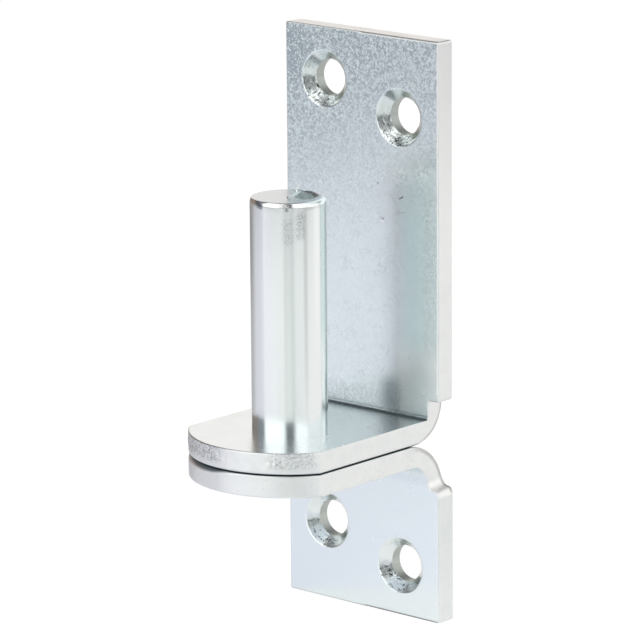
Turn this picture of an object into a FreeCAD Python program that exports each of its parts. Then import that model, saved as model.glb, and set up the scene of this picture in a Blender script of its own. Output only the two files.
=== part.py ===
"""Gate hinge pin on a two-piece wall plate.

Two bent steel plates lie tongue on tongue, one flange up and one flange down,
and a plain round pin is riveted through both tongues.
Frame: the origin is on the pin's axis where its shoulder sits on the upper
tongue, +Z runs up the pin, +X to the right and +Y into the wall.
"""
import FreeCAD, Part
import math
import os

Vec = FreeCAD.Vector

# Strip that both plates are cut from
plate_width = 34.3
plate_thickness = 3.9
tongue_width = 29.7
wall_to_pin = 23.0

# Upper plate, with its flange up
upper_flange_height = 66.1
upper_neck_height = 3.4
upper_inner_bend = 0.8
upper_outer_bend = 7.2
upper_end_radius = 17.6
upper_corner_radius = 0.4

# Lower plate, with its flange down
lower_flange_height = 28.1
lower_neck_height = 4.7
lower_inner_bend = 4.2
lower_outer_bend = 8.6
lower_end_radius = 17.6
lower_corner_radius = 0.7

# Cut edges of the blanks, pulled round by the die on the outer side
roll_over = 0.35

# Countersunk screw holes, two in each flange
screw_hole_diameter = 6.5
countersink_diameter = 10.0
countersink_angle = 90.0
hole_side_offset = 8.4
near_hole_margin = 8.8
far_hole_margin = 13.8

# Pin, shouldered on the upper tongue and riveted under the lower one
pin_diameter = 13.0
pin_height = 40.5
pin_edge_radius = 0.5
tenon_diameter = 10.0
rivet_head_diameter = 13.0
rivet_countersink_depth = 1.5
rivet_dome_height = 0.8

flange_front = wall_to_pin - plate_thickness
mating_level = -plate_thickness
underside_level = -2 * plate_thickness


def arc(start, middle, end):
    return Part.Arc(start, middle, end).toShape()


def line(start, end):
    return Part.LineSegment(start, end).toShape()


def on_circle(centre, radius, degrees, across, along):
    """Point at an angle on a circle whose plane is given by two unit vectors."""
    angle = math.radians(degrees)
    return centre + across * (radius * math.cos(angle)) + along * (radius * math.sin(angle))


def side_section(flange_height, inner_bend, outer_bend, end_radius):
    """Bent strip seen from its side, as a face in the YZ plane with the flange up."""
    forward = Vec(0, 1, 0)
    up = Vec(0, 0, 1)
    tip = -end_radius - plate_thickness
    inner_centre = Vec(0, flange_front - inner_bend, inner_bend)
    outer_centre = Vec(0, wall_to_pin - outer_bend, outer_bend + mating_level)
    top_front = Vec(0, flange_front, flange_height)
    top_back = Vec(0, wall_to_pin, flange_height)
    outer_start = on_circle(outer_centre, outer_bend, 0, forward, up)
    outer_middle = on_circle(outer_centre, outer_bend, -45, forward, up)
    outer_end = on_circle(outer_centre, outer_bend, -90, forward, up)
    tip_bottom = Vec(0, tip, mating_level)
    tip_top = Vec(0, tip, 0)
    inner_start = on_circle(inner_centre, inner_bend, -90, forward, up)
    inner_middle = on_circle(inner_centre, inner_bend, -45, forward, up)
    inner_end = on_circle(inner_centre, inner_bend, 0, forward, up)
    edges = [
        line(top_front, top_back),
        line(top_back, outer_start),
        arc(outer_start, outer_middle, outer_end),
        line(outer_end, tip_bottom),
        line(tip_bottom, tip_top),
        line(tip_top, inner_start),
        arc(inner_start, inner_middle, inner_end),
        line(inner_end, top_front),
    ]
    return Part.Face(Part.Wire(edges))


def rounded(solid, radius, chosen):
    """The solid with a fillet on each edge that the test picks."""
    edges = [edge for edge in solid.Edges if chosen(edge)]
    return solid.makeFillet(radius, edges)


def flange(flange_height, neck_height, corner_radius):
    """Flat upright part of a plate at full width, its back edges rolled over."""
    block = Part.makeBox(plate_width, plate_thickness, flange_height - neck_height,
                         Vec(-plate_width / 2, flange_front, neck_height))
    block = rounded(block, corner_radius,
                    lambda edge: edge.BoundBox.YLength > plate_thickness / 2
                    and abs(edge.BoundBox.ZMin - flange_height) < 0.01)
    return rounded(block, roll_over, lambda edge: edge.BoundBox.YMin > wall_to_pin - 0.01)


def neck(section, outer_bend, end_radius):
    """Bend and tongue at tongue width, with the round end and the outer edges rolled over."""
    section.translate(Vec(-tongue_width / 2, 0, 0))
    strip = section.extrude(Vec(tongue_width, 0, 0))
    height = section.BoundBox.ZLength
    end = Part.makeCylinder(end_radius, height, Vec(0, 0, mating_level))
    rest = Part.makeBox(tongue_width, wall_to_pin, height, Vec(-tongue_width / 2, 0, mating_level))
    strip = strip.common(end.fuse(rest)).removeSplitter()
    top = section.BoundBox.ZMax

    def rolled(edge):
        seam = edge.BoundBox.XLength > tongue_width - 0.01
        return on_outer_skin(edge, outer_bend) and not seam and edge.BoundBox.ZMin < top - 0.01

    return rounded(strip, roll_over, rolled)


def screw_hole(x, z):
    """Cutter for one countersunk screw hole, driven in from the front of a flange."""
    slope = math.tan(math.radians(countersink_angle / 2))
    depth = (countersink_diameter - screw_hole_diameter) / 2 / slope
    front = Vec(x, flange_front, z)
    inward = Vec(0, 1, 0)
    shank = Part.makeCylinder(screw_hole_diameter / 2, plate_thickness, front, inward)
    cone = Part.makeCone(countersink_diameter / 2, screw_hole_diameter / 2, depth, front, inward)
    return shank.fuse(cone)


def on_outer_skin(edge, outer_bend):
    """True for an edge that lies on the back, on the outside of the bend or under the tongue."""
    centre_y = wall_to_pin - outer_bend
    centre_z = mating_level + outer_bend
    middle = (edge.FirstParameter + edge.LastParameter) / 2
    for parameter in (edge.FirstParameter, middle, edge.LastParameter):
        point = edge.valueAt(parameter)
        if point.z > centre_z:
            offset = point.y - wall_to_pin
        elif point.y < centre_y:
            offset = point.z - mating_level
        else:
            offset = math.hypot(point.y - centre_y, point.z - centre_z) - outer_bend
        if abs(offset) > 0.01:
            return False
    return True


def bent_plate(flange_height, neck_height, inner_bend, outer_bend, end_radius, corner_radius):
    """One plate with its flange up, its tongue's top at z = 0 and its cut edges rolled over."""
    overlap = neck_height + plate_thickness
    section = side_section(overlap, inner_bend, outer_bend, end_radius)
    bend = neck(section, outer_bend, end_radius)
    return flange(flange_height, neck_height, corner_radius).fuse(bend).removeSplitter()


def upper_plate():
    plate = bent_plate(upper_flange_height, upper_neck_height, upper_inner_bend,
                       upper_outer_bend, upper_end_radius, upper_corner_radius)
    near = screw_hole(-hole_side_offset, upper_flange_height - near_hole_margin)
    far = screw_hole(hole_side_offset, upper_flange_height - far_hole_margin)
    tenon_hole = Part.makeCylinder(tenon_diameter / 2, plate_thickness, Vec(0, 0, mating_level))
    return plate.cut(Part.makeCompound([near, far, tenon_hole]))


def lower_plate():
    plate = bent_plate(lower_flange_height, lower_neck_height, lower_inner_bend,
                       lower_outer_bend, lower_end_radius, lower_corner_radius)
    far = screw_hole(-hole_side_offset, lower_flange_height - far_hole_margin)
    near = screw_hole(hole_side_offset, lower_flange_height - near_hole_margin)
    plate = plate.cut(Part.makeCompound([far, near]))
    plate = plate.mirror(Vec(0, 0, mating_level), Vec(0, 0, 1))
    return plate.cut(rivet_shank())


def rivet_shank():
    """Tenon through both tongues, swelled into the countersink under the lower one."""
    tenon = Part.makeCylinder(tenon_diameter / 2, -underside_level, Vec(0, 0, underside_level))
    head = Part.makeCone(rivet_head_diameter / 2, tenon_diameter / 2, rivet_countersink_depth,
                         Vec(0, 0, underside_level), Vec(0, 0, 1))
    return tenon.fuse(head)


def rivet_dome():
    """Low dome that the riveting leaves proud of the underside."""
    half = rivet_head_diameter / 2
    radius = (half ** 2 + rivet_dome_height ** 2) / (2 * rivet_dome_height)
    centre = Vec(0, 0, underside_level - rivet_dome_height + radius)
    ball = Part.makeSphere(radius, centre)
    below = Part.makeCylinder(half, rivet_dome_height, Vec(0, 0, underside_level - rivet_dome_height))
    return ball.common(below)


def hinge_pin():
    body = Part.makeCylinder(pin_diameter / 2, pin_height)
    body = rounded(body, pin_edge_radius,
                   lambda edge: abs(edge.BoundBox.ZMin - pin_height) < 0.01)
    pin = body.fuse([rivet_shank(), rivet_dome()])
    return pin.removeSplitter()


def write(name, shape):
    if not shape.isValid() or len(shape.Solids) != 1:
        raise RuntimeError("%s is not one valid solid" % name)
    shape.Solids[0].exportStep("parts/%s.step" % name)
    print("%-12s %9.1f mm3" % (name, shape.Volume))


os.makedirs("parts", exist_ok=True)
write("upper_plate", upper_plate())
write("lower_plate", lower_plate())
write("hinge_pin", hinge_pin())
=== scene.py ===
"""Gate hinge pin on its two-piece wall plate: its zinc plated steel, the studio and the camera."""
import math

import bpy
import numpy as np
from bpy.props import FloatProperty, FloatVectorProperty, PointerProperty
from mathutils import Matrix, Vector, noise
from mathutils.geometry import delaunay_2d_cdt


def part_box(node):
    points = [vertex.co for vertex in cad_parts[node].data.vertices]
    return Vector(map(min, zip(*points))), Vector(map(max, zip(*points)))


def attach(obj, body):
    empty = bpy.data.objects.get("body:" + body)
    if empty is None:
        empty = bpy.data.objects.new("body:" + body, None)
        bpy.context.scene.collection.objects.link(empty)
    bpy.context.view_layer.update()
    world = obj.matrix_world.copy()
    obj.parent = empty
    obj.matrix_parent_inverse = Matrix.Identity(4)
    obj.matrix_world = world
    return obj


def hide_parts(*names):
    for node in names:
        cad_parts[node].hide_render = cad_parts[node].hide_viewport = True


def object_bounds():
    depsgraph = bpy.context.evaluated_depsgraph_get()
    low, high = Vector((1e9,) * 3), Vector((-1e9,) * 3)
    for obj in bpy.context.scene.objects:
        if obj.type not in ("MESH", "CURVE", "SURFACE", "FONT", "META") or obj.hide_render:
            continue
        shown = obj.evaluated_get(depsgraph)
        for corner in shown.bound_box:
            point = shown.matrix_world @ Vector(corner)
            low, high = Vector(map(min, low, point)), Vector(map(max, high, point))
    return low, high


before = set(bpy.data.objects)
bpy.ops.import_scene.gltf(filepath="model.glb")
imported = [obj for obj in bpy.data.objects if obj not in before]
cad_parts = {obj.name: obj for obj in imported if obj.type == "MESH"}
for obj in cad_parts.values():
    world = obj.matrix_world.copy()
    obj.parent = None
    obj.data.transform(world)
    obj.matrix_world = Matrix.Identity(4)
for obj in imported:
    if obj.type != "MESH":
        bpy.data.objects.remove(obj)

bl_info = {
    "name": "Gate Hinge Pin",
    "version": (1, 0, 0),
    "blender": (4, 5, 0),
    "location": "3D View > Sidebar > Hinge Pin",
    "description": "Makes the zinc plated plates and pin of a gate hinge pin, and its studio",
    "category": "Object",
}

CAD_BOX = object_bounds()
UPPER_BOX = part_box("upper_plate")
LOWER_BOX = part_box("lower_plate")
PIN_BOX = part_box("hinge_pin")
MM = 0.001
# Thickness of the steel strip in millimetres
STRIP = 3.9
# Points round the pin, points round a screw hole, and rows of points in a bend
PIN_POINTS, HOLE_POINTS, BEND_ROWS = 192, 120, 56
# Distances between the points on a blank's sides, on its rounded corners and inside it
SIDE_STEP, CORNER_STEP, GRID_STEP = 0.45 * MM, 0.15 * MM, 1.1 * MM
# Degrees of the camera's turn, rise and roll
CAMERA_ANGLES = (40.936, 12.802, -0.4156)
# The point that the camera looks at and its distance from there, in millimetres
CAMERA_TARGET, CAMERA_AWAY = (6.807, 0.0, 19.981), 747.30
# Numbers of a plate's materials
SKIN, CUT, BORE = 0, 1, 2
# Numbers of the pin's materials
SIDE, END = 0, 1
# Direction to the right that the marks on the pin and on the round ends follow
MARKS = (0.7554, 0.6552)
# Degrees that the studio's front is turned round the object
STUDIO_TURN = 40.94


def length(name, description, default):
    """A size that the user can change, with its default in millimetres."""
    return FloatProperty(name=name, description=description, default=default * MM, min=0.0,
                         precision=5, unit="LENGTH", subtype="DISTANCE")


def share(name, description, default, top=1.0):
    """A plain number from nought to a top value."""
    return FloatProperty(name=name, description=description, default=default, min=0.0,
                         max=top, precision=3, subtype="FACTOR")


def colour(name, description, default):
    """A colour in linear values."""
    return FloatVectorProperty(name=name, description=description, default=default,
                               min=0.0, max=1.0, size=3, subtype="COLOR")


def one_plate(**defaults):
    """The sizes that each bent plate has by itself, from their defaults."""
    words = {
        "flange_height": ("Flange height", "From the tongue to the flange's end"),
        "neck_height": ("Neck height", "From the tongue to the notch"),
        "inner_bend": ("Inner bend", "Radius on the inside of the bend"),
        "outer_bend": ("Outer bend", "Radius on the outside of the bend"),
        "end_radius": ("End radius", "Radius of the tongue's round end"),
        "corner_radius": ("Corner", "Radius of the flange's end corners"),
        "left_lean": ("Left lean", "How far the end's left corner stands out"),
        "right_lean": ("Right lean", "How far the end's right corner stands out"),
        "roll_over": ("Roll over", "Rounding that the die leaves on the back edges"),
        "end_roll": ("End roll", "More roll over at the tongue's left corner"),
        "notch_round": ("Notch", "Rounding inside the notch under the flange"),
        "foot_round": ("Foot corner", "Rounding of the flange's corners at the notch"),
        "shear_relief": ("Shear relief", "Height of the marks on the cut edges"),
        "hole_rise": ("Left hole", "How much nearer the bend the left hole stands"),
    }
    return {key: length(*words[key], default) for key, default in defaults.items()}


class PlateSizes(bpy.types.PropertyGroup):
    """Sizes that both bent plates share."""
    thickness: length("Thickness", "Thickness of the steel strip", STRIP)
    plate_width: length("Plate width", "Width of the flanges", 34.3)
    tongue_width: length("Tongue width", "Width of the tongues and bends", 29.7)
    wall_to_pin: length("Wall to pin", "From the wall to the pin's axis", UPPER_BOX[1].y / MM)
    front_round: length("Front edge", "Rounding of the edges on the front skin", 0.2)
    flange_round: length("Flange edge", "Rounding of the flange's front edges", 0.38)
    hole_diameter: length("Screw hole", "Diameter of the screw holes", 6.5)
    sink_diameter: length("Countersink", "Diameter of the countersinks at the front", 10.0)
    hole_offset: length("Hole offset", "From the middle line to each hole", 8.4)
    near_margin: length("Near hole", "From the flange's end to its nearer hole", 8.8)
    far_margin: length("Far hole", "From the flange's end to its further hole", 13.8)


class UpperPlateSizes(bpy.types.PropertyGroup):
    """Sizes of the plate whose flange stands up."""
    __annotations__ = one_plate(
        flange_height=UPPER_BOX[1].z / MM, neck_height=3.4, inner_bend=0.5, outer_bend=7.2,
        end_radius=-UPPER_BOX[0].y / MM, corner_radius=0.4, left_lean=0.4, right_lean=0.05,
        roll_over=0.55, end_roll=0.0, notch_round=0.4, foot_round=0.4, shear_relief=0.16,
        hole_rise=0.0)


class LowerPlateSizes(bpy.types.PropertyGroup):
    """Sizes of the plate whose flange hangs down."""
    __annotations__ = one_plate(
        flange_height=-LOWER_BOX[0].z / MM - 2 * STRIP, neck_height=4.7, inner_bend=4.2,
        outer_bend=9.2, end_radius=-LOWER_BOX[0].y / MM, corner_radius=0.4, left_lean=0.0,
        right_lean=0.32, roll_over=0.2, end_roll=0.9, notch_round=1.3, foot_round=0.9,
        shear_relief=0.04, hole_rise=0.3)


class PinSizes(bpy.types.PropertyGroup):
    """Sizes of the riveted pin."""
    radius: length("Radius", "Radius of the pin", PIN_BOX[1].x / MM + 0.05)
    stands_left: length("Stands left", "How far the riveting set the pin to the left", 0.12)
    height: length("Height", "From the shoulder to the top", PIN_BOX[1].z / MM)
    edge: length("Edge", "Rounding of the top edge, across", 0.35)
    edge_drop: length("Edge drop", "Rounding of the top edge, down the side", 0.95)
    worn_edge: length("Worn edge", "More rounding of the top edge at the right", 0.7)
    head_bottom: length("Rivet head", "Depth of the rivet head's lowest point", -PIN_BOX[0].z / MM)
    tenon: length("Tenon", "Radius of the tenon through both tongues", 5.0)
    dent_depth: length("Dent depth", "Depth of the torn dent in the top", 0.8)
    burr_height: length("Burr height", "Height of the curled burr over the top", 1.35)


class ZincFinish(bpy.types.PropertyGroup):
    """Colours and gloss of the zinc plating."""
    skin_colour: colour("Rolled skin", "Bluish zinc on the rolled faces", (0.81, 0.87, 0.885))
    skin_dark: colour("Rolled skin, dull", "Duller zinc in the coarse grain", (0.455, 0.52, 0.56))
    cut_colour: colour("Cut edge", "Zinc on the sheared edges", (0.86, 0.875, 0.86))
    bore_colour: colour("Countersink", "Zinc in the countersinks", (0.84, 0.89, 0.88))
    pin_colour: colour("Pin", "Zinc on the turned pin", (0.87, 0.90, 0.89))
    end_colour: colour("Pin end", "Duller zinc on the pin's faced top", (0.64, 0.69, 0.71))
    skin_roughness: share("Skin roughness", "Roughness of the rolled faces", 0.26)
    cut_roughness: share("Cut roughness", "Roughness of the sheared edges", 0.3)
    pin_roughness: share("Pin roughness", "Roughness of the pin's side", 0.17)


class StudioSettings(bpy.types.PropertyGroup):
    """Floor, backdrop and light."""
    floor_colour: colour("Floor", "Colour of the pale floor", (0.52, 0.52, 0.54))
    floor_glow: share("Floor glow", "How far the metal sees the floor lit by itself", 0.46, 2.0)
    floor_size: length("Floor size", "Length of the square floor's sides", 900.0)
    room_light: share("Room", "Brightness of the room beyond the lights", 0.16, 2.0)
    sweep_light: share("Sweep", "Brightness of the backdrop behind the object", 1.12, 2.0)
    left_light: share("Left light", "Brightness of the soft light at the left", 1.45, 3.0)
    right_light: share("Right light", "Brightness of the soft light at the right", 1.4, 3.0)


class BentStrip:
    """Places points of a plate's flat blank on the bent plate.

    A point of the blank is x across, s along from the pin's axis, and a depth
    below the skin that is inside the bend.
    """

    def __init__(self, sizes, plate, hangs):
        self.thickness = sizes.thickness
        self.outer = plate.outer_bend
        self.inner = plate.inner_bend
        self.hangs = hangs
        self.bend_start = sizes.wall_to_pin - plate.outer_bend
        self.bend_top = plate.outer_bend - sizes.thickness
        self.straight = self.bend_top - plate.inner_bend
        self.bend_length = 2 * self.straight + plate.inner_bend * math.pi / 2
        self.bend_end = self.bend_start + self.bend_length

    def along(self, height):
        """Distance along the blank at a height on the flange."""
        return self.bend_end + height - self.bend_top

    def place(self, flat, depth):
        """Points in the object's frame for an array of (x, s) and a depth."""
        x, s = flat[:, 0], flat[:, 1]
        turn = np.clip((s - self.bend_start) / self.bend_length, 0.0, 1.0)
        travel = turn * self.bend_length
        angle = np.clip((travel - self.straight) / self.inner, 0.0, math.pi / 2)
        before = np.minimum(travel, self.straight)
        after = np.maximum(travel - self.straight - self.inner * math.pi / 2, 0.0)
        inner_y = self.bend_start + before + self.inner * np.sin(angle)
        inner_z = self.inner * (1 - np.cos(angle)) + after
        outer_y = self.bend_start + self.outer * np.sin(turn * math.pi / 2)
        outer_z = -self.thickness + self.outer * (1 - np.cos(turn * math.pi / 2))
        part = depth / self.thickness
        tongue = np.minimum(s - self.bend_start, 0.0)
        flange = np.maximum(s - self.bend_end, 0.0)
        y = (1 - part) * inner_y + part * outer_y + tongue
        z = (1 - part) * inner_z + part * outer_z + flange
        if self.hangs:
            z = -2 * self.thickness - z
        return np.column_stack([x, y, z])


class Shell:
    """Collects the points and faces of one closed mesh."""

    def __init__(self, flipped=False):
        self.points = []
        self.faces = []
        self.finishes = []
        self.count = 0
        self.flipped = flipped

    def add(self, points):
        """Adds points and returns their numbers."""
        self.points.append(np.asarray(points, float))
        first = self.count
        self.count += len(points)
        return np.arange(first, self.count)

    def face(self, corners, finish):
        order = [int(c) for c in corners]
        self.faces.append(order[::-1] if self.flipped else order)
        self.finishes.append(finish)

    def band(self, upper, lower, finish):
        """Quads between two closed rings of as many points. Returns the lower ring."""
        total = len(upper)
        for i in range(total):
            j = (i + 1) % total
            self.face((upper[i], lower[i], lower[j], upper[j]), finish)
        return lower

    def cap(self, centre, ring, finish):
        """Triangles from one point to a closed ring."""
        total = len(ring)
        for i in range(total):
            self.face((centre, ring[i], ring[(i + 1) % total]), finish)

    def mesh(self, name, materials, smooth_degrees=38):
        made = bpy.data.meshes.new(name)
        made.from_pydata(np.vstack(self.points).tolist(), [], self.faces)
        for material in materials:
            made.materials.append(material)
        made.polygons.foreach_set("material_index", self.finishes)
        made.polygons.foreach_set("use_smooth", [True] * len(self.faces))
        made.set_sharp_from_angle(angle=math.radians(smooth_degrees))
        made.validate()
        made.update()
        return made


def put(name, mesh, node):
    """Makes the piece that stands for a CAD node."""
    piece = bpy.data.objects.new(name, mesh)
    bpy.context.scene.collection.objects.link(piece)
    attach(piece, "root")
    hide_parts(node)
    return piece


def clamp(value, low=0.0, high=1.0):
    """A number, or a shader's value, held between two others."""
    if isinstance(value, Value):
        return value.most(low).least(high)
    return max(low, min(high, value))


def from_line(x, z, start, end):
    """Distance from a line between two points, for numbers or a shader's values."""
    run = (end[0] - start[0], end[1] - start[1])
    across, up = x - start[0], z - start[1]
    part = clamp((across * run[0] + up * run[1]) / (run[0] ** 2 + run[1] ** 2))
    across, up = across - part * run[0], up - part * run[1]
    return (across * across + up * up) ** 0.5


def roughly(x, y, z):
    """Smooth noise between minus one and one at a place."""
    return noise.noise(Vector((x, y, z)))


def rightward(x, y):
    """Distance to the right, as the marks on the pin and on the round ends lie."""
    return x * MARKS[0] + y * MARKS[1]


def inward(x, y):
    """Distance at right angles to that, away from the front."""
    return y * MARKS[0] - x * MARKS[1]


def unit(vectors):
    return vectors / np.linalg.norm(vectors, axis=1)[:, None]


def inset(loop, distance):
    """A closed loop moved to its left by a distance, its corners mitred."""
    forward = unit(np.roll(loop, -1, axis=0) - loop)
    back = np.roll(forward, 1, axis=0)
    turn = np.array([[0.0, 1.0], [-1.0, 0.0]])
    sides = forward @ turn, back @ turn
    both = sides[0] + sides[1]
    facing = 1 + np.sum(sides[0] * sides[1], axis=1)
    return loop + np.reshape(distance, (-1, 1)) * both / facing[:, None]


def round_corner(before, corner, after, radius):
    """Points of the arc that replaces a corner between two straight sides."""
    sides = [(point - corner).normalized() for point in (before, after)]
    half = sides[0].angle(sides[1]) / 2
    centre = corner + (sides[0] + sides[1]).normalized() * (radius / math.sin(half))
    reach = radius / math.tan(half)
    first, last = ((corner + side * reach - centre).normalized() for side in sides)
    count = max(3, math.ceil(radius * (math.pi - 2 * half) / CORNER_STEP))
    return [centre + first.slerp(last, i / count) * radius for i in range(count + 1)]


def blank_outline(sizes, plate, strip):
    """Outline of a plate's flat blank, counter-clockwise, and how far in each point may go."""
    half_tongue = sizes.tongue_width / 2
    half_plate = sizes.plate_width / 2
    neck = strip.along(plate.neck_height)
    end = strip.along(plate.flange_height)
    swing = math.acos(half_tongue / plate.end_radius)
    corners = []
    for i in range(101):
        angle = -math.pi + swing + (math.pi - 2 * swing) * i / 100
        corner = Vector((math.cos(angle), math.sin(angle))) * plate.end_radius
        corners.append((corner, 0.9 * MM if i in (0, 100) else 0.0))
    corners += [(Vector((x, s)), radius) for x, s, radius in (
        (half_tongue, neck, plate.notch_round), (half_plate, neck, plate.foot_round),
        (half_plate, end + plate.right_lean, plate.corner_radius),
        (-half_plate, end + plate.left_lean, plate.corner_radius),
        (-half_plate, neck, plate.foot_round), (-half_tongue, neck, plate.notch_round))]
    rough = []
    for i, (corner, radius) in enumerate(corners):
        before, after = corners[i - 1][0], corners[(i + 1) % len(corners)][0]
        rough += round_corner(before, corner, after, radius) if radius else [corner]
    loop = split_long(rough, strip)
    limits = np.full(len(loop), 1.0)
    for corner, radius in corners:
        inner = abs(abs(corner.x) - half_tongue) < 1e-6 and corner.y > 0
        if radius and not inner:
            gap = np.linalg.norm(loop - np.array(corner), axis=1) - radius
            limits = np.minimum(limits, 0.9 * radius + 0.6 * np.maximum(gap, 0.0))
    return loop, limits


def split_long(loop, strip):
    """The loop with its long sides divided, and more closely in the bend."""
    fine = []
    for i, start in enumerate(loop):
        end = loop[(i + 1) % len(loop)]
        run = end - start
        count = max(1, int(run.length / SIDE_STEP))
        marks = {k / count for k in range(count)}
        if abs(run.y) > 2 * MM:
            rows = bend_rows(strip)
            marks |= {(row - start.y) / run.y for row in rows}
            marks = {m for m in marks if not in_bend(start.y + m * run.y, strip, rows)}
        kept = []
        for mark in sorted(marks):
            if 0 <= mark < 1 and (not kept or (mark - kept[-1]) * run.length > 0.04 * MM):
                kept.append(mark)
        fine += [start + run * mark for mark in kept]
    return np.array([tuple(point) for point in fine])


def bend_rows(strip):
    """Distances along the blank of the close rows in the bend."""
    return [strip.bend_start + strip.bend_length * i / BEND_ROWS for i in range(BEND_ROWS + 1)]


def in_bend(s, strip, rows):
    """True for a point in the bend that isn't on one of its rows."""
    inside = strip.bend_start < s < strip.bend_end
    return inside and min(abs(s - row) for row in rows) > 1e-7


def inside_loop(points, loop):
    """For each point, whether it is inside a closed loop."""
    x, y = points[:, 0][:, None], points[:, 1][:, None]
    ax, ay = loop[:, 0], loop[:, 1]
    bx, by = np.roll(ax, -1), np.roll(ay, -1)
    spans = (ay > y) != (by > y)
    rise = np.where(by == ay, 1.0, by - ay)
    crossing = (bx - ax) * (y - ay) / rise + ax
    return (np.sum(spans & (x < crossing), axis=1) % 2) == 1


def skin_grid(outer, holes, strip):
    """Points inside a skin, in rows along the bend and a wide grid elsewhere."""
    low, high = outer.min(axis=0), outer.max(axis=0)
    tongue = np.arange(low[1] + 0.8 * MM, strip.bend_start - 0.5 * MM, GRID_STEP)
    flange = np.arange(strip.bend_end + 0.5 * MM, high[1] - 0.4 * MM, GRID_STEP)
    rows = np.concatenate([tongue, bend_rows(strip), flange])
    columns = np.arange(low[0] + 0.5 * MM, high[0] - 0.3 * MM, 1.0 * MM)
    grid = np.array([(x, s) for s in rows for x in columns])
    grid = grid[inside_loop(grid, outer)]
    for loop in [outer, *holes]:
        gap = np.linalg.norm(grid[:, None, :] - loop[None, :, :], axis=2).min(axis=1)
        grid = grid[gap > 0.3 * MM]
    for hole in holes:
        grid = grid[~inside_loop(grid, hole)]
    return grid


def fill(shell, strip, loops, depth, numbers, faces_front):
    """Closes a skin between its outline and its holes."""
    outer, holes = loops[0], loops[1:]
    grid = skin_grid(outer, holes, strip)
    flat = np.vstack([*loops, grid])
    edges = []
    first = 0
    for loop in loops:
        total = len(loop)
        edges += [(first + i, first + (i + 1) % total) for i in range(total)]
        first += total
    scaled = [Vector(p) for p in flat * 1000]
    made = delaunay_2d_cdt(scaled, edges, [], 0, 1e-7, True)
    made_flat = np.array([tuple(p) for p in made[0]]) / 1000
    source = [min(origins) if origins else None for origins in made[3]]
    if None in source:
        raise RuntimeError("a skin's outline crosses itself")
    own = shell.add(strip.place(grid, depth))
    number = np.concatenate([*numbers, own])
    triangles = [tuple(face) for face in made[2]]
    spread = made_flat[np.array(triangles)]
    sides = spread[:, 1:] - spread[:, :1]
    areas = np.abs(sides[:, 0, 0] * sides[:, 1, 1] - sides[:, 0, 1] * sides[:, 1, 0]) / 2
    middles = spread.mean(axis=1)
    kept = inside_loop(middles, outer) & (areas > 1e-6 * MM * MM)
    for hole in holes:
        kept &= ~inside_loop(middles, hole)
    for triangle, keep in zip(triangles, kept):
        if keep:
            corners = [number[source[c]] for c in triangle]
            shell.face(corners if faces_front else corners[::-1], SKIN)


def edge_shape(loop, sizes, plate, strip):
    """Rounding of the front edge and roll over of the back edge at each outline point."""
    up = np.clip((loop[:, 1] - strip.bend_end) / (2 * MM), 0.0, 1.0) * (loop[:, 0] > 0)
    front = sizes.front_round + (sizes.flange_round - sizes.front_round) * up
    across = rightward(loop[:, 0], loop[:, 1]) / MM
    left = np.clip((-8.0 - across) / 7.0, 0.0, 1.0) * (loop[:, 1] < strip.bend_start)
    roll = plate.roll_over + plate.end_roll * left
    return front, roll


def edge_profile(front, roll, thick):
    """(inset, depth, finish of the band under it) from the front skin to the back."""
    wall = thick - front - roll
    rounding = [math.radians(90 * i / 5) for i in range(6)]
    rolling = [math.radians(90 * i / 7) for i in range(8)]
    return [(front + 0.2 * MM, 0 * front, SKIN),
            *[(front * (1 - math.sin(a)), front * (1 - math.cos(a)), CUT) for a in rounding],
            *[(0 * front, front + wall * i / 14, CUT) for i in range(1, 14)],
            *[(roll * (1 - math.cos(a)), thick - roll + roll * math.sin(a), CUT) for a in rolling],
            (roll + 0.05 * MM, 0 * roll + thick, SKIN)]


def torn_share(x, s, strip):
    """Share of tearing on the cut edge: strong at two places of the tongue's round end."""
    across = rightward(x, s) / MM
    if s > strip.bend_start:
        return 0.12
    left = 1 - clamp((across + 12.5) / 2.5)
    middle = 1 - clamp((abs(across - 0.2) - 3.8) / 1.2)
    return 0.12 + 0.88 * max(left, middle)


def shear_marks(loop, depth, thick, relief, seed, strip):
    """How far the cut edge's marks stand in at each point of a ring."""
    made = []
    for (x, s), down in zip(loop, depth):
        part = clamp(down / thick)
        middle = math.sin(math.pi * part) * (1.0 if part < 0.5 else (2 - 2 * part))
        coarse = roughly(x * 1100 + seed, s * 1100, down * 500)
        fine = roughly(x * 2600, s * 2600 + seed, down * 1500)
        share = torn_share(x, s, strip) * clamp((0.72 - part) / 0.1, 0.15)
        made.append(relief * middle * (0.7 * coarse + 0.7 * fine) * share)
    return np.array(made)


def hole_profile(sizes):
    """(radius, depth, finish of the band under it) of a countersunk hole."""
    sink, bore, thick = sizes.sink_diameter / 2, sizes.hole_diameter / 2, sizes.thickness
    cone = sink - bore
    return [(sink + 0.25 * MM, 0.0, SKIN), (sink + 0.07 * MM, 0.0, BORE), (sink, 0.03 * MM, BORE),
            *[(sink - cone * i / 14, cone * i / 14, BORE) for i in range(1, 15)],
            *[(bore, cone + (thick - cone - 0.15 * MM) * i / 6, BORE) for i in range(1, 7)],
            (bore + 0.15 * MM, thick, SKIN), (bore + 0.4 * MM, thick, SKIN)]


def tool_marks(angle, depth, sizes, seed):
    """How far a countersink's chatter marks stand out at a point."""
    cone = (sizes.sink_diameter - sizes.hole_diameter) / 2
    if not 0.1 * MM < depth < cone + 1.2 * MM:
        return 0.0
    across = Vector((math.cos(angle) * 2.1, math.sin(angle) * 2.1, depth * 1500 + seed))
    torn = noise.noise(across * 1.9) + 0.6 * noise.noise(across * 4.3)
    rings = math.sin(depth * 2 * math.pi / (0.42 * MM) + 1.5 * noise.noise(across))
    side = clamp(0.5 - 1.1 * math.sin(angle + math.radians(35)))
    return (0.036 * torn * (0.06 + side) + 0.004 * rings) * MM


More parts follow.
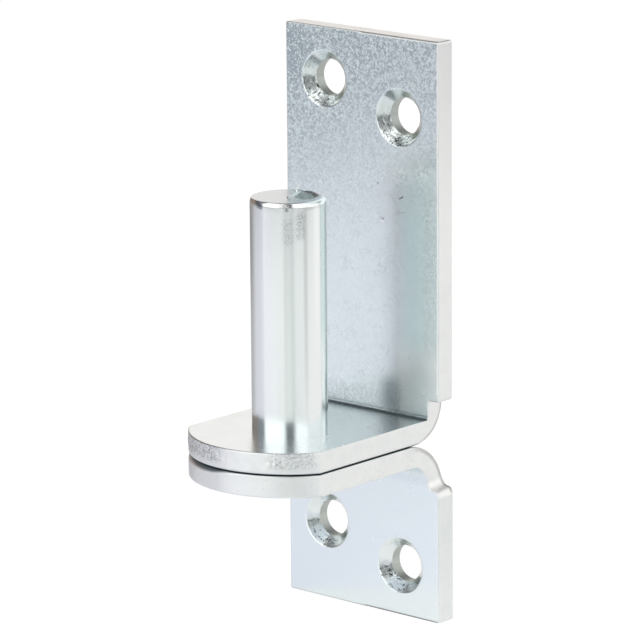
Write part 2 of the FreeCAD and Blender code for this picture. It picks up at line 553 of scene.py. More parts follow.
def hole_ring(centre, radius, depth, sizes, seed):
    """One clockwise ring of a screw hole, with its tool marks."""
    points = []
    for i in range(HOLE_POINTS):
        angle = -2 * math.pi * i / HOLE_POINTS
        reach = radius + tool_marks(angle, depth, sizes, seed)
        points.append((centre[0] + reach * math.cos(angle), centre[1] + reach * math.sin(angle)))
    return np.array(points)


def bent_plate(name, sizes, plate, hangs, holes, materials):
    """Mesh of one plate, from its flat blank."""
    strip = BentStrip(sizes, plate, hangs)
    shell = Shell(flipped=hangs)
    outline, limits = blank_outline(sizes, plate, strip)
    front_round, roll = edge_shape(outline, sizes, plate, strip)
    seed = 40.0 if hangs else 7.0
    edge_rings, flats = [], []
    for back, depth, finish in edge_profile(front_round, roll, sizes.thickness):
        marks = shear_marks(outline, depth, sizes.thickness, plate.shear_relief, seed, strip)
        flat = inset(outline, np.minimum(back + marks, limits))
        flats.append(flat)
        edge_rings.append((shell.add(strip.place(flat, depth)), finish))
    for (upper, finish), (lower, _) in zip(edge_rings, edge_rings[1:]):
        shell.band(upper, lower, finish)
    front = [(flats[0], edge_rings[0][0])]
    back = [(flats[-1], edge_rings[-1][0])]
    for number, centre in enumerate(holes):
        rings = []
        profile = hole_profile(sizes)
        place = (centre[0], strip.along(centre[1]))
        for radius, depth, finish in profile:
            flat = hole_ring(place, radius, depth, sizes, seed + 3 * number)
            rings.append((flat, shell.add(strip.place(flat, depth)), finish))
        for (_, upper, finish), (_, lower, _) in zip(rings, rings[1:]):
            shell.band(upper, lower, finish)
        front.append(rings[0][:2])
        back.append(rings[-1][:2])
    fill(shell, strip, [f[0] for f in front], 0.0, [f[1] for f in front], True)
    fill(shell, strip, [b[0] for b in back], sizes.thickness, [b[1] for b in back], False)
    return shell.mesh(name, materials)


def top_relief(x, y, pin):
    """Height of the torn dent, its lip and the facing marks at a point of the pin's top."""
    across, away = rightward(x, y) / MM, inward(x, y) / MM
    ragged = 0.06 * roughly(across * 1.9, away * 1.9, 3.0)
    u = (across - 2.9) / 2.35
    v = (away - 0.4) / 3.3 + ragged
    inside = clamp((1.0 - u * u - abs(v)) / 0.22)
    torn = 1 + 0.12 * roughly(across * 1.6, away * 1.6, 9.0)
    dent = -pin.dent_depth * inside * (0.52 - 0.48 * v) * torn
    rim = abs(v) + u * u - 1.1
    back = clamp(v / 0.5)
    lip = 0.2 * MM * math.exp(-(rim / 0.1) ** 2) * (0.15 + 0.85 * back)
    slot = from_line(across, away, (1.3, 4.3), (2.9, 5.3))
    tear = -0.5 * MM * math.exp(-(slot / 0.32) ** 2)
    bump = from_line(across, away, (-0.1, -0.6), (0.1, -3.2))
    ridge = 0.13 * MM * math.exp(-(bump / 0.28) ** 2) * (1 + roughly(x * 3000, y * 3000, 0.0))
    facing = 0.004 * MM * roughly(across * 3, away * 3, 0.5)
    return dent + lip + tear + ridge + facing


def worn_share(x, y):
    """Share of wear on the top edge towards the pin's right."""
    part = clamp((rightward(x, y) / math.hypot(x, y) - 0.40) / 0.3)
    return part * part * (3 - 2 * part)


def pin_profile(pin):
    """(share of the edge's rounding, height) down the pin's side, from its top edge."""
    drop = pin.edge_drop
    rounding = [math.radians(90 - 90 * i / 12) for i in range(13)]
    return [*[(1 - math.cos(a), pin.height - drop + drop * math.sin(a)) for a in rounding],
            *[(0.0, (pin.height - drop) * (1 - i / 60)) for i in range(1, 61)]]


def side_nick(x, y, height, pin):
    """How far the nicks at the front of the pin's top edge stand in or out at a point."""
    across, away = rightward(x, y) / MM, inward(x, y) / MM
    below = (pin.height - height) / MM
    if away > 0 or below > 2.5:
        return 0.0
    place = math.hypot((across + 0.15) / 0.42, (below - 0.55) / 0.75)
    rough = roughly(across * 3.1, below * 3.1, 2.0)
    return 0.1 * MM * rough * math.exp(-place * place)


def rivet_profile(pin, sizes):
    """(radius, height) under the lower tongue, from the rim to the dome's edge."""
    underside = -2 * sizes.thickness
    rise = pin.head_bottom + underside
    shares = [1 - i / 14 for i in range(14)]
    return [(pin.radius * share, underside - rise * (1 - share ** 2)) for share in shares]


def hinge_pin(name, pin, sizes, materials):
    """Mesh of the pin, from the dented top to the rivet head."""
    shell = Shell()
    angles = [2 * math.pi * i / PIN_POINTS for i in range(PIN_POINTS)]

    def ring(radius, height, relief=None, nicked=False, edge=0.0, part=1.0):
        points = []
        for angle in angles:
            x, y = math.cos(angle), math.sin(angle)
            own = part * (radius - edge * (pin.edge + pin.worn_edge * worn_share(x, y)))
            x, y = own * x, own * y
            lift = relief(x, y) if relief else 0.0
            out = 1 + side_nick(x, y, height, pin) / radius if nicked else 1.0
            points.append((x * out, y * out, height + lift))
        return shell.add(points)

    def dented(x, y):
        return top_relief(x, y, pin)

    def hammered(x, y):
        return 0.05 * MM * roughly(x * 420, y * 420, 5.0)

    tops = [ring(pin.radius, pin.height, dented, edge=1.0, part=i / 40) for i in range(1, 40)]
    centre = shell.add([(0, 0, pin.height + dented(0, 0))])[0]
    shell.cap(centre, tops[0], END)
    for inner, outer in zip(tops, tops[1:]):
        shell.band(inner, outer, END)
    before = tops[-1]
    for rounding, height in pin_profile(pin):
        fade = clamp((pin.height - height) / pin.edge_drop)
        high = height > pin.height - pin.edge_drop - 1e-9

        def edge_lift(x, y, fade=fade, high=high):
            return dented(x, y) * (1 - fade) if high else 0.0

        own = ring(pin.radius, height, edge_lift, height > pin.height - 3 * MM, rounding)
        before = shell.band(before, own, END if fade < 0.08 else SIDE)
    for depth in (-0.2 * MM, -2 * sizes.thickness + 0.3 * MM):
        before = shell.band(before, ring(pin.tenon, depth), SIDE)
    for radius, height in rivet_profile(pin, sizes):
        before = shell.band(before, ring(radius, height, hammered), END)
    bottom = shell.add([(0, 0, -pin.head_bottom)])[0]
    shell.cap(bottom, before[::-1], END)
    burr(shell, pin)
    aside = np.array([*MARKS, 0.0]) * pin.stands_left
    shell.points = [points - aside for points in shell.points]
    return shell.mesh(name, materials)


def burr(shell, pin):
    """The thin curl of metal that the facing tool left on the pin's top."""
    right = Vector((*MARKS, 0.0))
    away = Vector((-MARKS[1], MARKS[0], 0.0))
    start = right * 1.5 * MM + away * 4.0 * MM + Vector((0, 0, pin.height - 0.2 * MM))
    tall = pin.burr_height
    line = [(0.2, -0.1), (0.0, 0.12), (-0.12, 0.3), (-0.12, 0.5), (0.08, 0.72), (0.34, 0.96),
            (0.52, 1.2)]
    middles = [start + right * a * MM + Vector((0, 0, b * tall)) for a, b in line]
    middles = smooth_line(middles, 5)
    rings = []
    for i, middle in enumerate(middles):
        ahead = middles[min(i + 1, len(middles) - 1)] - middles[max(i - 1, 0)]
        ahead.normalize()
        side = ahead.cross(away).normalized()
        thin = 1 - 0.55 * i / (len(middles) - 1)
        turns = [2 * math.pi * k / 8 for k in range(8)]
        rings.append(shell.add([
            middle + (side * math.cos(a) * 0.17 + away * math.sin(a) * 0.17) * thin * MM
            for a in turns]))
    for lower, upper in zip(rings, rings[1:]):
        shell.band(upper, lower, SIDE)
    base, tip = shell.add([middles[0], middles[-1]])
    shell.cap(tip, rings[-1], END)
    shell.cap(base, rings[0][::-1], END)


def smooth_line(points, cuts):
    """Points along a smooth line through the given ones."""
    fine = []
    for i in range(len(points) - 1):
        before = points[max(i - 1, 0)]
        start, end = points[i], points[i + 1]
        after = points[min(i + 2, len(points) - 1)]
        for k in range(cuts):
            t = k / cuts
            fine.append(0.5 * (2 * start + (end - before) * t
                               + (2 * before - 5 * start + 4 * end - after) * t * t
                               + (3 * start - before - 3 * end + after) * t * t * t))
    return fine + [points[-1]]


def on_values(operation, swapped=False):
    """A method that adds a Math node for one of Python's operators."""
    def method(self, other):
        first, second = (other, self) if swapped else (self, other)
        return self.net.math(operation, first, second)
    return method


class Value:
    """A number of a shader, so that a sum on it is written as a Python expression."""
    __add__ = on_values("ADD")
    __radd__ = on_values("ADD", True)
    __sub__ = on_values("SUBTRACT")
    __rsub__ = on_values("SUBTRACT", True)
    __mul__ = on_values("MULTIPLY")
    __rmul__ = on_values("MULTIPLY", True)
    __truediv__ = on_values("DIVIDE")
    __pow__ = on_values("POWER")
    most = on_values("MAXIMUM")
    least = on_values("MINIMUM")

    def __init__(self, net, socket):
        self.net = net
        self.socket = socket

    def __abs__(self):
        return self.net.math("ABSOLUTE", self)

    def degrees(self, ahead):
        """Angle to the side by this value, seen from a distance ahead."""
        return self.net.math("ARCTAN2", self, ahead) * (180 / math.pi)

    def step(self, low, high):
        """Nought below low, one above high, and smooth between."""
        return self.net.node("ShaderNodeMapRange", {"interpolation_type": "SMOOTHSTEP"},
                             {"Value": self, "From Min": low, "From Max": high})

    def fall(self, low, high):
        """One below low, nought above high, and smooth between."""
        return 1 - self.step(low, high)

    def window(self, low, high, soft):
        """One between low and high, with soft ends."""
        return self.step(low - soft, low + soft) * self.fall(high - soft, high + soft)


class Net:
    """The nodes of one material or world, with sizes on the object in millimetres."""

    def __init__(self, tree):
        self.tree = tree
        tree.nodes.clear()

    def node(self, kind, settings=None, sockets=None, output=0):
        """Adds a node: its settings first, then its sockets. Returns one output."""
        made = self.tree.nodes.new(kind)
        for key, value in (settings or {}).items():
            setattr(made, key, value)
        for key, value in (sockets or {}).items():
            self.feed(made.inputs[key], value)
        return Value(self, made.outputs[output]) if made.outputs else None

    def feed(self, socket, value):
        if isinstance(value, Value):
            self.tree.links.new(value.socket, socket)
        elif socket.type == "RGBA":
            socket.default_value = (*value, 1.0)
        else:
            socket.default_value = value

    def math(self, operation, *numbers):
        return self.node("ShaderNodeMath", {"operation": operation}, dict(enumerate(numbers)))

    def noise(self, place, size, detail=2.0, rough=0.6, twist=0.0):
        """Cloudy noise with patches of a size."""
        return self.node("ShaderNodeTexNoise", {},
                         {"Vector": place, "Scale": 1 / (size * MM), "Detail": detail,
                          "Roughness": rough, "Distortion": twist})

    def stretched(self, place, upward):
        """The place with its height scaled, for streaks along it."""
        return self.node("ShaderNodeVectorMath", {"operation": "MULTIPLY"},
                         {0: place, 1: (1.0, 1.0, upward)})

    def axes(self, place):
        outputs = self.node("ShaderNodeSeparateXYZ", {}, {0: place}).socket.node.outputs
        return [Value(self, outputs[i]) for i in range(3)]


def blend(part, first, second):
    """A colour between two."""
    return part.net.node("ShaderNodeMix", {"data_type": "RGBA"}, {0: part, 6: first, 7: second},
                         output=2)


def layers(tint, *coats):
    """The tint under coats, each with its share and its colour."""
    for part, coat in coats:
        tint = blend(part, tint, coat)
    return tint


def new_material(name):
    """An empty material, its net, the place on the object, and x, y and z in millimetres."""
    material = bpy.data.materials.new(name)
    material.use_nodes = True
    net = Net(material.node_tree)
    place = net.node("ShaderNodeTexCoord", output="Object")
    return material, net, place, *[axis / MM for axis in net.axes(place)]


def metal(net, tint, roughness, height, strength, distance):
    """Ends a material as plated metal, with a bump from the height."""
    bump = net.node("ShaderNodeBump", {}, {"Strength": strength, "Distance": distance * MM,
                                           "Height": height})
    shader = net.node("ShaderNodeBsdfPrincipled", {},
                      {"Base Color": tint, "Metallic": 1.0, "Roughness": roughness,
                       "Normal": bump})
    net.node("ShaderNodeOutputMaterial", {}, {"Surface": shader})


def rolled_skin(finish, upper, fold):
    """Zinc over the rolled faces: fine grain, coarse and dull towards the flange's end."""
    name = "zinc_rolled_skin_" + ("upper" if upper else "lower")
    material, net, place, x, y, z = new_material(name)
    grain = net.noise(place, 0.45, 2.0, 0.6, 0.3)
    speck = net.noise(place, 0.4, 1.0, 0.5)
    cloud = net.noise(place, 5.5, 3.0, 0.55)
    thread = abs(net.noise(place, 0.8, 1.0, 0.5, 0.8) - 0.5)
    if upper:
        coarse = (z - x * 0.5).step(30, 73)
        upright = z.step(0.4, 1.0)
        open_top = (x + y * 0.3).step(-1, 3)
        patch = net.noise(place, 2.4).step(0.5, 0.7) * upright
        low = z.fall(1.5, 7) * upright * x.fall(8, 11)
        edge = x.step(10.5, 13) * upright
        busy = 0.09 * upright + coarse * 0.8 + patch * 0.2 + low * 0.2 + edge * 0.12
        busy = (busy + (1 - upright) * open_top * 0.3).least(1.0)
        corner = from_line(x, z, (-17.0, 65.5), (-16.0, 60.0)).fall(0.5, 6.5)
        dull = grain.step(0.44, 0.56) * busy + coarse * 0.3 + corner * 0.52
    else:
        coarse = 0.03 * cloud
        busy = coarse.least(1.0)
        dull = grain.step(0.44, 0.56) * busy + coarse * 0.3
    flecks = thread.fall(0.025, 0.065) * speck.step(0.44, 0.52)
    tint = layers(finish.skin_colour, (dull.least(1.0), finish.skin_dark),
                  ((flecks * busy * 1.3).least(1.0), (0.88, 0.98, 1.0)))
    height = (grain * 0.7 + speck * 0.5) * busy
    if upper:
        facing = (y - fold).fall(0.5, 1.5)
        rough = from_line(x, z, (8.5, 42.2), (14.5, 43.4)).fall(0.5, 3.0) * facing
        right = x.window(8.6, 13.8, 1) * z.fall(34, 44) * upright
        # painted highlight: the flange's foot right of the pin is tinted near-white
        base = x.step(7, 9.5) * z.fall(9, 15) * upright
        tint = layers(tint, (right * facing * 0.6, (0.86, 0.99, 0.99)),
                      (base * facing * 0.8, (1.0, 1.0, 0.99)),
                      (rough * grain.fall(0.40, 0.46) * 0.4, (0.42, 0.52, 0.52)),
                      (rough * (0.25 + grain.step(0.50, 0.60) * 0.6), (0.94, 1.0, 0.985)))
        # painted shade in and beside the fold, and a darker smudge on the flange's foot
        tint = blend(facing, tint, fold_shade_and_smudge(tint, x, fold - y, z, upright, grain))
        tint = blend(facing, tint, flange_nicks_and_glints(tint, x, z, upright, grain))
        height = height + speck * rough * 0.5
    roughness = finish.skin_roughness + coarse * 0.08 + cloud * 0.10 - 0.05
    metal(net, tint, roughness, height, 0.6, 0.06)
    return material


def fold_shade_and_smudge(tint, x, ahead, z, upright, grain):
    """The tint with painted shade in and beside the fold, and a darker smudge and band on the
    flange's foot.
    """
    # painted shade, darkening the tongue towards the fold
    spread = (ahead / (5.2 + x.step(0, 11) * 3.0)).fall(0.0, 1.0)
    smudge = from_line(x, z, (6.0, 2.2), (6.1, 4.4)) + grain * 1.6
    smudge = smudge.fall(0.8, 4.2) * 0.55
    low = z.window(1.4, 4.0, 0.6) * 0.04
    # painted shade in the crease itself
    crease_shade = ahead.fall(0.25, 0.5) * z.fall(0.15, 0.3)
    return layers(tint, (spread * (1 - upright) * (0.38 + grain * 0.3), (0.16, 0.22, 0.235)),
                  ((smudge + low) * upright, (0.20, 0.25, 0.28)),
                  (crease_shade * 0.3, (0.05, 0.075, 0.085)))


def flange_nicks_and_glints(tint, x, z, upright, grain):
    """The tint with the small nicks on the flange and two painted glints: start, end, width, share
    and shade of each.
    """
    nicks = [
        ((8.55, 38.1), (9.1, 38.5), 0.13, 0.8, 0.17),
        ((4.0, 34.35), (4.9, 34.2), 0.09, 0.7, 0.17),
        ((7.2, 35.45), (9.8, 35.95), 0.06, 0.35, 0.3),
        ((3.5, 40.3), (3.8, 40.3), 0.13, 0.6, 0.2),
        # the last two, of shade 1.0, are painted glints: white flecks beside the nicks
        ((3.9, 33.8), (4.9, 33.7), 0.14, 0.8, 1.0),
        ((8.3, 37.8), (8.9, 38.1), 0.1, 0.6, 1.0),
    ]
    for start, end, wide, part, shade in nicks:
        mark = from_line(x, z, start, end) + grain * 0.9 - 0.42
        mark = mark.fall(wide * 0.5, wide * 1.8)
        tint = blend(mark * upright * part, tint, (shade, shade, shade))
    return tint


def bend_rim(y, up, sizes, plate):
    """Share of the duller rim along the outside of a plate's bend."""
    outer = plate.outer_bend / MM
    aside = y - (sizes.wall_to_pin / MM - outer)
    above = up - outer
    reach = (aside * aside + above * above) ** 0.5
    rim = reach.step(outer - 1.0, outer - 0.35)
    return rim * aside.step(0.0, 4.0) * above.fall(-0.5, 0.5)


def sheared_edge(finish, relief, upper, sizes, plate):
    """Zinc over the cut edges: streaks, torn places on the round end, and painted shade in the seam.
    """
    name = "zinc_sheared_edge_" + ("upper" if upper else "lower")
    material, net, place, x, y, z = new_material(name)
    across = rightward(x, y)
    streak = net.noise(net.stretched(place, 0.25), 0.35)
    cloud = net.noise(place, 3.0, 3.0)
    pit = net.noise(place, 0.5, 1.0, 0.5).step(0.66, 0.76)
    tongue = y.fall(6, 8)
    from_seam = z + sizes.thickness / MM
    roughness = finish.cut_roughness + cloud * 0.12
    tint = blend(cloud.step(0.35, 0.75) * 0.35, finish.cut_colour, (0.74, 0.755, 0.77))
    if upper:
        left = across.fall(-13.0, -10.5)
        torn = left.most(across.window(-3.6, 4.0, 0.6)) * tongue
        torn = torn * from_seam.step(0.9, 1.5)
        marks = net.noise(place, 0.42).step(0.44, 0.60) * torn
        specks = net.noise(place, 0.28, 1.0, 0.5).step(0.60, 0.68) * torn
        tint = layers(tint, (marks * (0.45 + left * 0.1), (0.385, 0.40, 0.43)),
                      (specks * (0.2 + left * 0.4), (0.17, 0.18, 0.20)),
                      (z.step(10, 40) * 0.6, (0.97, 0.98, 0.96)))
        rim = bend_rim(y, from_seam, sizes, plate)
    else:
        wedge = across.step(-18.4, -15.6) * across.fall(-13.8, -9.8)
        shade = (-1 * from_seam - wedge * 0.8).fall(-0.3, 0.12) * tongue
        # painted shade: a dark line along the lower flange's end
        line = abs(z + 35.75).fall(0.2, 0.45)
        line = line * (0.35 + 0.4 * x.step(-8, 6)) * x.fall(16.5, 17)
        # painted highlight: the notch is tinted near-white and made rougher
        notch = from_line(x, z, (15.3, -12.1), (16.6, -12.6)).fall(0.7, 1.5)
        tint = layers(tint, (pit * 0.3, (0.45, 0.45, 0.50)),
                      (shade * 0.75, (0.13, 0.19, 0.26)),
                      ((-1 * z).step(12, 14) * 0.35, (0.70, 0.74, 0.76)),
                      (line, (0.12, 0.14, 0.15)), (notch, (1.0, 1.0, 0.98)))
        roughness = roughness + notch * 0.3
        rim = bend_rim(y, -1 * from_seam, sizes, plate)
    # painted shade: a dark line along the seam where the two tongues meet
    gap = abs(from_seam - 0.1).fall(0.08, 0.3)
    tint = layers(tint, (gap * 0.9, (0.01, 0.055, 0.065)),
                  (rim * (0.4 + cloud * 0.6), (0.42, 0.42, 0.40)))
    metal(net, tint, roughness, streak + pit * -0.6, relief, 0.05)
    return material


def tooled_bore(finish, sizes, centres, face):
    """Zinc in the countersinks: bright cones, torn black at the lower left, and duller bores."""
    material, net, place, x, y, z = new_material("zinc_countersink")
    torn = net.noise(place, 0.5, 3.0, 0.65, 0.6)
    lower = 0.0
    for across, up in centres:
        aside, above = x - across / MM, z - up / MM
        near = (aside * aside + above * above).fall(30.0, 34.0)
        turned = above.degrees(aside)
        lower = lower + turned.window(-166, -62, 7) * near
    cone = (sizes.sink_diameter - sizes.hole_diameter) / 2 / MM
    bore = (y - face).step(cone - 0.05, cone + 0.05)
    black = torn.step(0.56, 0.60) * lower * (1 - bore)
    tint = layers(finish.bore_colour, (black * 0.93, (0.06, 0.075, 0.08)),
                  (bore, (0.50, 0.53, 0.50)))
    metal(net, tint, 0.2 + lower * 0.05 + bore * 0.2, torn, 0.12 + lower * 0.35, 0.08)
    return material


def turned_side(finish):
    """Bright zinc on the pin's side, drawn along it, with spotted patches under the top."""
    material, net, place, x, y, z = new_material("zinc_pin_side")
    across, away = rightward(x, y), inward(x, y)
    drawn = net.noise(net.stretched(place, 0.07), 0.35)
    fine = net.noise(place, 0.3)
    cloud = net.noise(net.stretched(place, 0.4), 4.0, 2.0, 0.5)
    front = away.fall(-1, 0)
    patch = across.window(1.2, 2.7, 0.4) * z.window(34.4, 39, 0.8)
    low_patch = across.window(-1.1, 0.7, 0.5) * z.window(33.4, 37.6, 0.8)
    spots = net.noise(place, 0.23).step(0.44, 0.60) * 0.85 + 0.15
    spots = spots * (patch + low_patch * 0.6) * front
    gap = from_line(across, z, (-1.1, 40.3), (0.1, 40.3)) + fine * 0.6 - 0.3
    gap = gap.fall(0.4, 0.9) * front
    blotch = from_line(across, z, (-5.2, 40.1), (-4.8, 39.6)) + fine * 0.9 - 0.45
    blotch = blotch.fall(0.15, 0.65) * front
    nick = from_line(across, z, (-6.5, 0.7), (-6.25, 0.05))
    nick = nick.fall(0.1, 0.3) * away.window(-1.7, -0.2, 0.3)
    tint = layers(finish.pin_colour, (fine.step(0.6, 0.75) * 0.2, (0.64, 0.65, 0.65)),
                  (spots * 0.75, (0.33, 0.34, 0.35)), (gap * 0.5, (0.50, 0.49, 0.50)),
                  ((blotch * 0.7).most(nick * 0.85), (0.12, 0.12, 0.15)))
    height = drawn * 0.5 + fine * (0.5 + z.fall(2.5, 3.5) * 1.2 + gap * 4.0)
    metal(net, tint, finish.pin_roughness + cloud * 0.05 - 0.02, height, 0.22, 0.03)
    return material


def faced_end(finish):
    """Duller zinc on the pin's faced top and on its rivet head."""
    material, net, place, x, y, z = new_material("zinc_pin_end")
    across, away = rightward(x, y) - 2.8, inward(x, y) - 0.4
    fine = net.noise(place, 0.4)
    lens = across * across / 5.5 + abs(away) / 3.3 + fine * 0.3 - 0.15
    dent = lens.fall(0.7, 1.0) * z.step(30, 31)
    tint = layers(finish.end_colour, (fine.step(0.5, 0.75) * 0.25, (0.52, 0.56, 0.57)),
                  (dent * (0.35 + fine * 0.6), (0.24, 0.31, 0.28)))
    metal(net, tint, 0.22 + fine * 0.08, fine, 0.2, 0.03)
    return material


def around_studio(x, y):
    """Degrees around from the studio's front, to the right."""
    turn = math.radians(STUDIO_TURN)
    ahead = x * math.sin(turn) - y * math.cos(turn)
    aside = x * math.cos(turn) + y * math.sin(turn)
    return aside.degrees(ahead)


def floor_material(studio):
    """Pale floor: white to the camera but for the shadow, softly glossy to the metal."""
    material, net, place, x, y, _ = new_material("pale_floor")
    camera = net.node("ShaderNodeLightPath", output="Is Camera Ray")
    behind = net.node("ShaderNodeNewGeometry", output="Backfacing")
    reach = net.node("ShaderNodeVectorMath", {"operation": "LENGTH"}, {0: place}, output="Value")
    around = around_studio(x, y)
    # the floor's glow to the metal carries painted light and shade: painted shadows far off, at the
    # back-left corner, along a line and in wedges, and painted light in front and at the sides
    far = reach.step(0.31, 0.47) * (1 - 0.8 * around.step(50, 85))
    corner = (-1 * around).step(108, 146) * (0.6 + 0.4 * reach.step(0.24, 0.33))
    corner = corner * reach.step(0.06, 0.14)
    line = around.window(45.5, 57.5, 1.6) * reach.step(0.13, 0.25) * 0.62
    high = reach.step(0.21, 0.29)
    right = around.window(12, 43, 3) * (0.24 - high * 0.12)
    middle = around.window(-38, -14, 5) * (1 - high) * 0.1
    front = reach.fall(0.045, 0.12) * 0.08 + around.window(-8, 6, 4) * 0.1
    left = around.window(-95, -76, 4) * reach.step(0.12, 0.2)
    wing = around.window(84, 114, 4) * reach.step(0.18, 0.34)
    level = studio.floor_glow * (1 - far * 0.5) * (1 - corner) * (1 - line)
    level = level * (1 - right - middle) + front + left * 0.055 + wing * 0.07
    cool = around.step(-66, -22) * reach.step(0.06, 0.1)
    cool = blend(cool, (0.90, 0.905, 1.0), (0.93, 1.0, 0.965))
    cool = blend(around.step(30, 80), cool, (1.0, 0.99, 0.96))
    cool = net.node("ShaderNodeVectorMath", {"operation": "SCALE"}, {0: cool, "Scale": level * 1.06})
    white = net.node("ShaderNodeEmission", {}, {"Color": (1, 1, 1), "Strength": 0.85})
    shadow = net.node("ShaderNodeBsdfDiffuse", {}, {"Color": (0.32, 0.32, 0.32)})
    seen = net.node("ShaderNodeAddShader", {}, {0: white, 1: shadow})
    gloss = net.node("ShaderNodeBsdfPrincipled", {},
                     {"Base Color": studio.floor_colour, "Roughness": 0.26, "IOR": 1.22})
    glow = net.node("ShaderNodeEmission", {}, {"Color": cool, "Strength": 1.0})
    mirrored = net.node("ShaderNodeAddShader", {}, {0: gloss, 1: glow})
    above = net.node("ShaderNodeMixShader", {}, {0: camera, 1: mirrored, 2: seen})
    clear = net.node("ShaderNodeBsdfTransparent")
    both = net.node("ShaderNodeMixShader", {}, {0: behind, 1: above, 2: clear})
    net.node("ShaderNodeOutputMaterial", {}, {"Surface": both})
    return material


def studio_world(studio):
    """White to the camera; to the metal a dim room with a backdrop and two soft lights."""
    world = bpy.data.worlds.new("studio")
    world.use_nodes = True
    net = Net(world.node_tree)
    camera = net.node("ShaderNodeLightPath", output="Is Camera Ray")
    x, y, z = net.axes(net.node("ShaderNodeTexCoord", output="Generated"))
    around = around_studio(x, y)
    height = net.math("ARCSINE", z) * (180 / math.pi)
    room, sweep = studio.room_light, studio.sweep_light
    dark = blend(around.step(-124, -98), (0.29, 0.235, 0.20), (0.27, 0.29, 0.33))
    side = around.fall(-92, -84) * height.fall(22, 34)
    behind = around.step(116, 138).most(around.fall(-170, -159))
    lamps = height.window(-4, 62, 4)
    over = around.window(-40, -6, 3) * height.window(40, 66, 4)
    light = layers(
        (room, room * 1.06, room * 1.1), (side, dark),
        (behind * height.fall(22, 36), (sweep, sweep * 0.945, sweep * 0.91)),
        (around.window(-82.2, -13.2, 3) * lamps, (studio.left_light,) * 3),
        (around.window(16.5, 116, 5) * lamps, (studio.right_light * 0.78,) * 3),
        (around.window(16.5, 54, 5) * lamps, (studio.right_light,) * 3),
        (over, (1.3, 1.3, 1.3)), (height.fall(-12, -2) * 0.7, (0.45, 0.45, 0.46)),
        (camera, (1, 1, 1)))
    back = net.node("ShaderNodeBackground", {}, {"Color": light, "Strength": 1.0})
    net.node("ShaderNodeOutputWorld", {}, {"Surface": back})
    return world


def set_camera():
    """The camera at the photograph's viewing angle."""
    data = bpy.data.cameras.new("camera")
    data.sensor_width = 36.0
    data.lens = 248.09
    data.clip_start = 0.05
    data.clip_end = 20.0
    turn, rise, roll = (math.radians(angle) for angle in CAMERA_ANGLES)
    camera = bpy.data.objects.new("camera", data)
    bpy.context.scene.collection.objects.link(camera)
    camera.matrix_world = (
        Matrix.Translation(Vector(CAMERA_TARGET) * MM) @ Matrix.Rotation(turn, 4, "Z")
        @ Matrix.Rotation(math.pi / 2 - rise, 4, "X") @ Matrix.Rotation(roll, 4, "Z")
        @ Matrix.Translation((0.0, 0.0, CAMERA_AWAY * MM)))
    bpy.context.scene.camera = camera


def plate_mesh(scene, name, plate, hangs):
    """Mesh of one plate. The hole nearer the flange's end is left above and right below."""
    sizes, finish = scene.hinge_plates, scene.hinge_zinc
    near, far = plate.flange_height - sizes.near_margin, plate.flange_height - sizes.far_margin
    heights = (far - plate.hole_rise, near) if hangs else (near - plate.hole_rise, far)
    holes = list(zip((-sizes.hole_offset, sizes.hole_offset), heights))
    centres = [(x, -2 * sizes.thickness - up if hangs else up) for x, up in holes]
    face = (sizes.wall_to_pin - sizes.thickness) / MM
    materials = [rolled_skin(finish, not hangs, face),
                 sheared_edge(finish, 0.3 if hangs else 0.7, not hangs, sizes, plate),
                 tooled_bore(finish, sizes, centres, face)]
    return bent_plate(name, sizes, plate, hangs, holes, materials)


class MakeUpperPlate(bpy.types.Operator):
    """Make the upper plate, whose flange stands up."""
    bl_idname = "hinge_pin.make_upper_plate"
    bl_label = "Upper Plate"

    def execute(self, context):
        scene = context.scene
        mesh = plate_mesh(scene, "upper_plate_skin", scene.hinge_upper, False)
        put("upper_plate_zinc_plated", mesh, "upper_plate")
        return {"FINISHED"}


class MakeLowerPlate(bpy.types.Operator):
    """Make the lower plate, whose flange hangs down."""
    bl_idname = "hinge_pin.make_lower_plate"
    bl_label = "Lower Plate"

    def execute(self, context):
        scene = context.scene
        mesh = plate_mesh(scene, "lower_plate_skin", scene.hinge_lower, True)
        put("lower_plate_zinc_plated", mesh, "lower_plate")
        return {"FINISHED"}


class MakePin(bpy.types.Operator):
    """Make the pin with its dented top and its rivet head."""
    bl_idname = "hinge_pin.make_pin"
    bl_label = "Pin"

    def execute(self, context):
        scene = context.scene
        materials = [turned_side(scene.hinge_zinc), faced_end(scene.hinge_zinc)]
        mesh = hinge_pin("pin_skin", scene.hinge_pin, scene.hinge_plates, materials)
        put("hinge_pin_zinc_plated", mesh, "hinge_pin")
        return {"FINISHED"}


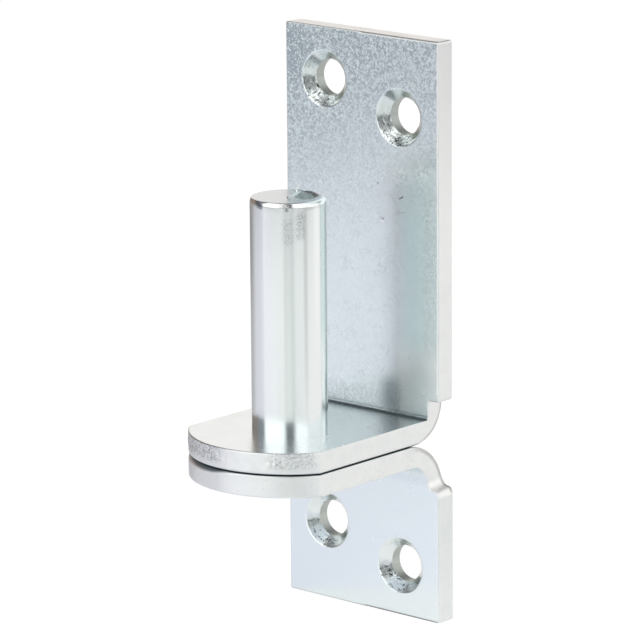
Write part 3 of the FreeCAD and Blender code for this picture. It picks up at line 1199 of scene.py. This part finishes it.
class MakeStudio(bpy.types.Operator):
    """Make the pale floor, the soft light and the camera."""
    bl_idname = "hinge_pin.make_studio"
    bl_label = "Studio"

    def execute(self, context):
        studio = context.scene.hinge_studio
        half = studio.floor_size / 2
        level = CAD_BOX[0].z - 0.25 * MM
        mesh = bpy.data.meshes.new("floor")
        corners = [(-half, -half, level), (half, -half, level),
                   (half, half, level), (-half, half, level)]
        mesh.from_pydata(corners, [], [(0, 1, 2, 3)])
        mesh.materials.append(floor_material(studio))
        floor = bpy.data.objects.new("floor", mesh)
        context.scene.collection.objects.link(floor)
        context.scene.world = studio_world(studio)
        context.scene.view_settings.view_transform = "Standard"
        set_camera()
        return {"FINISHED"}


class HingePinPanel(bpy.types.Panel):
    """Lists the hinge pin's pieces and sizes."""
    bl_idname = "VIEW3D_PT_hinge_pin"
    bl_label = "Gate Hinge Pin"
    bl_space_type = "VIEW_3D"
    bl_region_type = "UI"
    bl_category = "Hinge Pin"

    def draw(self, context):
        layout = self.layout
        for operator in OPERATORS:
            layout.operator(operator.bl_idname)
        for name in SETTINGS:
            box = layout.box()
            group = getattr(context.scene, name)
            for key in group.bl_rna.properties.keys():
                if key not in ("rna_type", "name"):
                    box.prop(group, key)


OPERATORS = (MakeUpperPlate, MakeLowerPlate, MakePin, MakeStudio)
SETTINGS = {
    "hinge_plates": PlateSizes,
    "hinge_upper": UpperPlateSizes,
    "hinge_lower": LowerPlateSizes,
    "hinge_pin": PinSizes,
    "hinge_zinc": ZincFinish,
    "hinge_studio": StudioSettings,
}


def register():
    for group in SETTINGS.values():
        bpy.utils.register_class(group)
    for cls in (*OPERATORS, HingePinPanel):
        bpy.utils.register_class(cls)
    for name, group in SETTINGS.items():
        setattr(bpy.types.Scene, name, PointerProperty(type=group))


def unregister():
    for name in SETTINGS:
        delattr(bpy.types.Scene, name)
    for cls in (HingePinPanel, *OPERATORS):
        bpy.utils.unregister_class(cls)
    for group in SETTINGS.values():
        bpy.utils.unregister_class(group)


def main():
    register()
    bpy.ops.hinge_pin.make_upper_plate()
    bpy.ops.hinge_pin.make_lower_plate()
    bpy.ops.hinge_pin.make_pin()
    bpy.ops.hinge_pin.make_studio()


if __name__ == "__main__":
    main()
